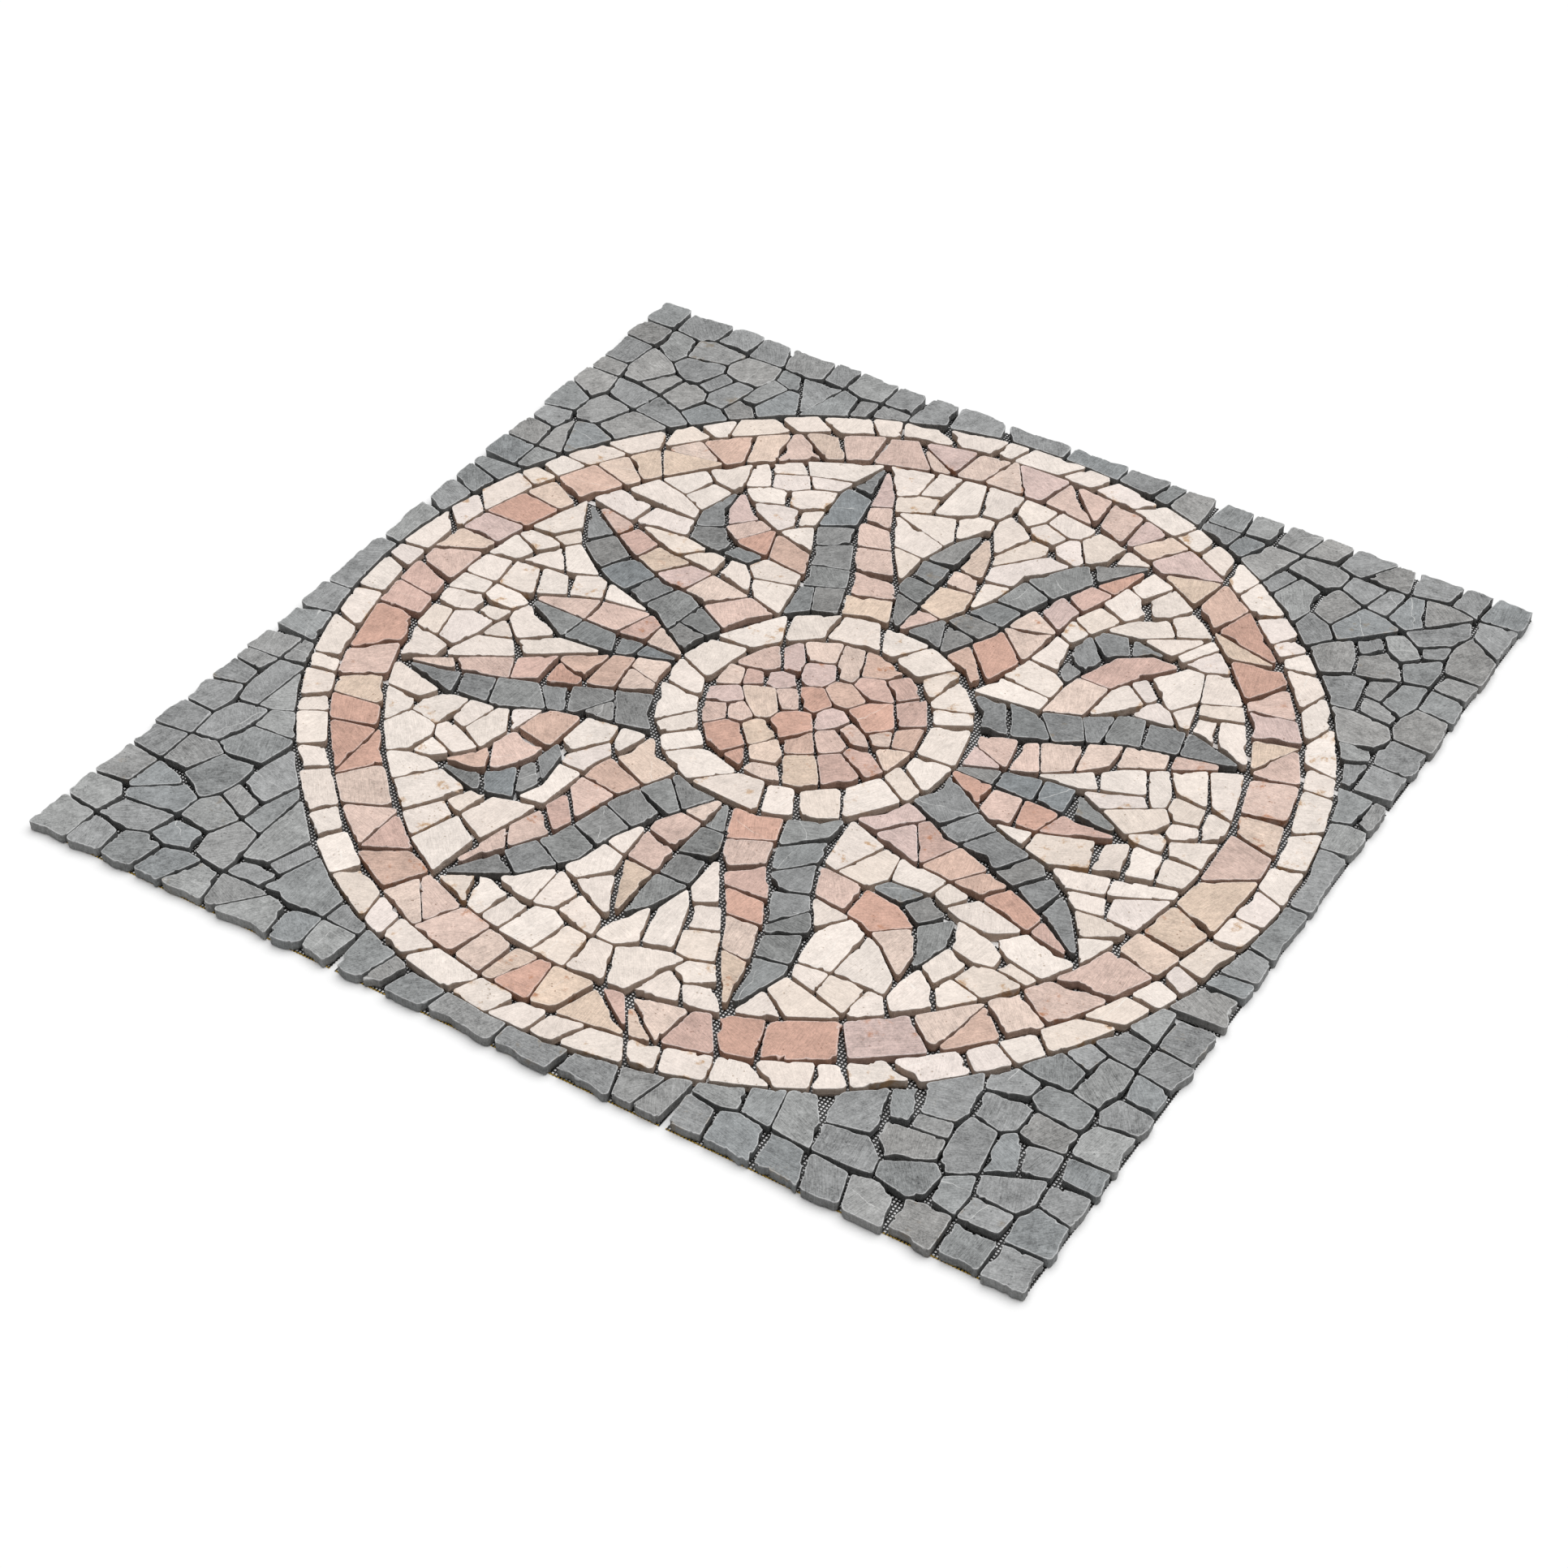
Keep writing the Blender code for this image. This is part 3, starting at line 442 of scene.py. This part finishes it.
def marble(name, tones, side_shade_tone, stain, stain_share, pit_shade_tone, vein, vein_share, roughness,
           contrast, rim_highlight_share):
    """Tumbled marble. Each stone takes one of the tones; its worn edge is lightened with a
    painted highlight, its broken sides are darkened with painted shade, and stains, pits with
    painted shade in them, veins and scratches lie over it."""
    material = bpy.data.materials.new(name)
    material.use_nodes = True
    tree = material.node_tree
    shader = tree.nodes["Principled BSDF"]
    start = Wire(tree)
    here = start.node("ShaderNodeTexCoord", out="Object")
    stone = start.node("ShaderNodeAttribute", {"attribute_name": "stone"}, out="Vector")
    edge = start.node("ShaderNodeAttribute", {"attribute_name": "edge"}, out="Fac")
    side = start.node("ShaderNodeAttribute", {"attribute_name": "side"}, out="Fac")
    pick, lightness, turn = (stone.node("ShaderNodeSeparateXYZ", {}, {0: stone}, i)
                             for i in range(3))
    own = here.vector_sum("ADD", here, stone)
    stops = [(i / len(tones), colour(tone)) for i, tone in enumerate(tones)]
    base = pick.node("ShaderNodeValToRGB", {"stops": stops, "blend_between_stops": "CONSTANT"},
                     {0: pick})

    # Clouds and mottles of a slightly different tone, a fine grain, and the marks of the saw
    clouds = own.noise(38.0, 5.0, 0.65)
    mottles = own.noise(150.0, 4.0, 0.6)
    speckle = own.noise(480.0, 3.0, 0.7)
    grain = own.noise(900.0, 4.0, 0.7)
    shade = sum((layer - 0.5) * share for layer, share in (
        (clouds, 0.60), (mottles, 0.55), (speckle, 0.75), (grain, 0.60), (lightness, 0.16)))
    spun = own.node("ShaderNodeVectorRotate", {"rotation_type": "Z_AXIS"},
                    {"Vector": own, "Angle": turn * math.pi})
    stretched = spun.vector_sum("MULTIPLY", spun, (90.0, 1500.0, 90.0))
    scratches = stretched.noise(1.0, 3.0, 0.6)
    shade = (shade + (scratches - 0.5) * 0.80) * contrast + 1.0
    base = base.vector_sum("MULTIPLY", base, shade.node("ShaderNodeCombineXYZ", {},
                                                        {0: shade, 1: shade, 2: shade}))

    # A thin pale vein runs nearly straight through some of the stones
    centre = start.node("ShaderNodeAttribute", {"attribute_name": "centre"}, out="Vector")
    local = here.vector_sum("SUBTRACT", here, centre)
    turned = local.node("ShaderNodeVectorRotate", {"rotation_type": "Z_AXIS"},
                        {"Vector": local, "Angle": lightness * 40.0})
    across = turned.node("ShaderNodeSeparateXYZ", {}, {0: turned}, 1)
    across = across + (pick - 0.5) * 0.016 + (own.noise(55.0, 3.0) - 0.5) * 0.012
    width = own.noise(130.0, 2.0) * 0.0008
    veins = (1 - across.sum("ABSOLUTE", across).between(width * 0.4, width)) * (
        lightness.between(1 - vein_share - 0.01, 1 - vein_share))
    base = base.mixed((*colour(vein), 1), veins * own.noise(60.0, 2.0).between(0.3, 0.6) * 0.7)

    # Rusty stains, most of them at the edges
    blots = own.noise(70.0, 5.0, 0.65) + edge * 0.07 + side * 0.05
    stained = blots.between(0.58, 0.70) * (turn - (1 - stain_share)).between(0.0, 0.05)
    base = base.mixed((*colour(stain), 1), stained * 0.75)

    # Pits whose floor is darkened with painted shade
    cells = own.node("ShaderNodeTexVoronoi", {"feature": "F1"},
                     {"Vector": own, "Scale": 260.0, "Randomness": 1.0})
    few = own.noise(60.0, 2.0).between(0.55, 0.66)
    pits = (1 - cells.between(0.10, 0.24)) * few
    base = base.mixed((*colour(pit_shade_tone), 1), pits * 0.55)

    # The sides are mixed towards a darker tone as painted shade, and the worn edge is mixed
    # towards white as a painted highlight
    base = base.mixed((*colour(side_shade_tone), 1), side * 0.45)
    # Painted highlight: a pale line along the worn top edge, patchy with noise
    rim_highlight = edge.between(0.40, 0.90) * (1 - side * 0.7) * own.noise(240.0, 2.0).between(0.2, 0.55)
    white = (1, 1, 1, 1)
    base = base.mixed(white, rim_highlight * rim_highlight_share)
    tree.links.new(base.socket, shader.inputs["Base Color"])

    # Low relief of the same grain, scratches and clouds, rougher on the sides
    height = (grain - 0.5) * 0.00018 + (scratches - 0.5) * 0.00016 + (clouds - 0.5) * 0.0005
    height = height + (own.noise(300.0, 3.0) - 0.5) * (side * 0.0005 + 0.00006) - pits * 0.0004
    bump = height.node("ShaderNodeBump", {}, {"Height": height, "Distance": 1.0,
                                              "Strength": 1.0})
    tree.links.new(bump.socket, shader.inputs["Normal"])
    tree.links.new((grain * 0.2 + side * 0.12 + roughness).socket, shader.inputs["Roughness"])
    shader.inputs["Specular IOR Level"].default_value = 0.35
    return material


def lay_stones(node, tree, finish, slot, seed, largest=0.002, sizes=()):
    """Makes the stones of one CAD node as one piece, which takes the node's place."""
    curves = bpy.data.curves.new(node + "_outlines", "CURVE")
    dice = random.Random(seed)
    for outline in [part for whole in top_outlines(node)
                    for part in broken_further(whole, largest, dice)]:
        spline = curves.splines.new("POLY")
        spline.points.add(len(outline) - 1)
        spline.use_cyclic_u = True
        for point, corner in zip(spline.points, outline):
            point.co = (corner.x, corner.y, 0, 1)
    piece = grown(node + "_stones", curves, tree, {
        "Foot level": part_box(node)[0].z, "Top level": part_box(node)[1].z,
        "Seed": seed, "Marble": finish, **dict(sizes)})
    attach(piece, "root")
    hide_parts(node)


stone_tree = tumbled_stones()
rose = marble("rose_marble_tumbled", ("dcc6b9", "d8bdb1", "d2b2a6", "dcc6b6", "d5bdb6", "d4b5a5",
                                      "dac4b1", "d9c0b4", "cda594", "dfcabd"),
              side_shade_tone="936d52", stain="b4703f", stain_share=0.24, pit_shade_tone="8a5a3c",
              vein="efe3d8", vein_share=0.06, roughness=0.62, contrast=1.10, rim_highlight_share=0.30)
cream = marble("cream_marble_tumbled", ("ede1d8", "ebdfd6", "ece0d6", "efe4db", "eaddd3",
                                        "eee3da", "e8dace", "eaded7"),
               side_shade_tone="ae8964", stain="b98a4e", stain_share=0.34, pit_shade_tone="a98c66",
               vein="fbf7f0", vein_share=0.05, roughness=0.60, contrast=0.72, rim_highlight_share=0.30)
seeds_apart = 100
for number, (node, finish, slot) in enumerate((("outer_cream_ring", cream, "cream_marble"),
                                               ("rose_ring", rose, "rose_marble"),
                                               ("inner_cream_ring", cream, "cream_marble"))):
    lay_stones(node, stone_tree, finish, slot, seeds_apart * number, largest=0.0016,
               sizes={"Ring filling": 0.0007})
lay_stones("rose_centre_disc", stone_tree, rose, "rose_marble", seeds_apart * 3,
           sizes={"Grown": 0.0008})


# Sixteen rays, half grey and half rose
# Each ray is two rows of marble chips glued from the inner ring to a tip, the small rays
# between the large ones. Their grey is a little darker than that of the surround.
grey = marble("grey_marble_tumbled", ("979898", "919393", "9b9c9b", "8e9192", "989897", "9a9997",
                                      "949595", "969797"),
              side_shade_tone="4a4947", stain="8d8170", stain_share=0.10, pit_shade_tone="55595a",
              vein="dcdcda", vein_share=0.16, roughness=0.60, contrast=1.80, rim_highlight_share=0.38)
dark_grey = marble("dark_grey_marble_tumbled", ("8a8b8b", "848686", "8e8f8e", "808486", "8a8a89",
                                                "8d8c8a", "878887", "898a8a"),
                   side_shade_tone="434240", stain="8d8170", stain_share=0.10, pit_shade_tone="4f5357",
                   vein="dcdcda", vein_share=0.20, roughness=0.60, contrast=1.80, rim_highlight_share=0.38)
rays = [name for name in sorted(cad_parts) if "_ray_" in name]
first_ray_seed = 1000
for number, node in enumerate(rays):
    half = (dark_grey, "grey_marble") if node.endswith("grey_half") else (rose, "rose_marble")
    lay_stones(node, stone_tree, *half, first_ray_seed + seeds_apart * number, largest=0.0012)


# Cream field between the rays, and the grey surround at the panel's corners
# Irregular chips of broken and tumbled marble, fitted together by hand and glued on the mesh.
# Cream ones fill what the rays leave free, and grey ones square the round picture off.
first_field_seed = 9000
for number, node in enumerate(sorted(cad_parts)):
    seed = first_field_seed + seeds_apart * number
    if node.startswith("cream_field"):
        lay_stones(node, stone_tree, cream, "cream_marble", seed, largest=0.0014)
    elif node.startswith("grey_surround"):
        lay_stones(node, stone_tree, grey, "grey_marble", seed, largest=0.0017)


# Photograph
# The panel lies on a white floor under a wide soft light. The camera has the angle, the lens
# and the slight roll of the photograph.
floor_reach = 60
floor_mesh = bpy.data.meshes.new("floor")
floor_mesh.from_pydata([(x * floor_reach, y * floor_reach, 0)
                        for x, y in ((-1, -1), (1, -1), (1, 1), (-1, 1))], [], [(0, 1, 2, 3)])
floor = bpy.data.objects.new("floor", floor_mesh)
bpy.context.scene.collection.objects.link(floor)
floor_paint = bpy.data.materials.new("floor_paint")
floor_paint.use_nodes = True
floor_shader = floor_paint.node_tree.nodes["Principled BSDF"]
floor_shader.inputs["Base Color"].default_value = (1, 1, 1, 1)
floor_shader.inputs["Roughness"].default_value = 1.0
floor_shader.inputs["Specular IOR Level"].default_value = 0.0
floor_mesh.materials.append(floor_paint)

world = bpy.data.worlds.new("studio")
world.use_nodes = True
world.node_tree.nodes["Background"].inputs["Color"].default_value = (1, 1, 1, 1)
world.node_tree.nodes["Background"].inputs["Strength"].default_value = 0.25
bpy.context.scene.world = world
bpy.context.scene.view_settings.view_transform = "Standard"
lamp = bpy.data.lights.new("soft_ceiling", "SUN")
lamp.angle = math.radians(75)
lamp.energy = 2.55
light = bpy.data.objects.new("soft_ceiling", lamp)
light.rotation_mode = "QUATERNION"
light_falls = Vector((-0.10, -0.30, -1.0))
light.rotation_quaternion = light_falls.to_track_quat("-Z", "Y")
bpy.context.scene.collection.objects.link(light)

azimuth, elevation, roll = math.radians(32.06), math.radians(40.92), math.radians(0.48)
aim, distance = Vector((0.0279, -0.0900, solid_box[1].z)), 2.614
back = Vector((math.sin(azimuth) * math.cos(elevation), -math.cos(azimuth) * math.cos(elevation),
               math.sin(elevation)))
across = Vector((0, 0, 1)).cross(back).normalized()
up = back.cross(across)
across, up = (across * math.cos(roll) + up * math.sin(roll),
              up * math.cos(roll) - across * math.sin(roll))
lens = bpy.data.cameras.new("camera")
lens.lens = 75.04
lens.sensor_width = 36
camera = bpy.data.objects.new("camera", lens)
camera.matrix_world = Matrix.Translation(aim + back * distance) @ Matrix(
    (across, up, back)).transposed().to_4x4()
bpy.context.scene.collection.objects.link(camera)
bpy.context.scene.camera = camera
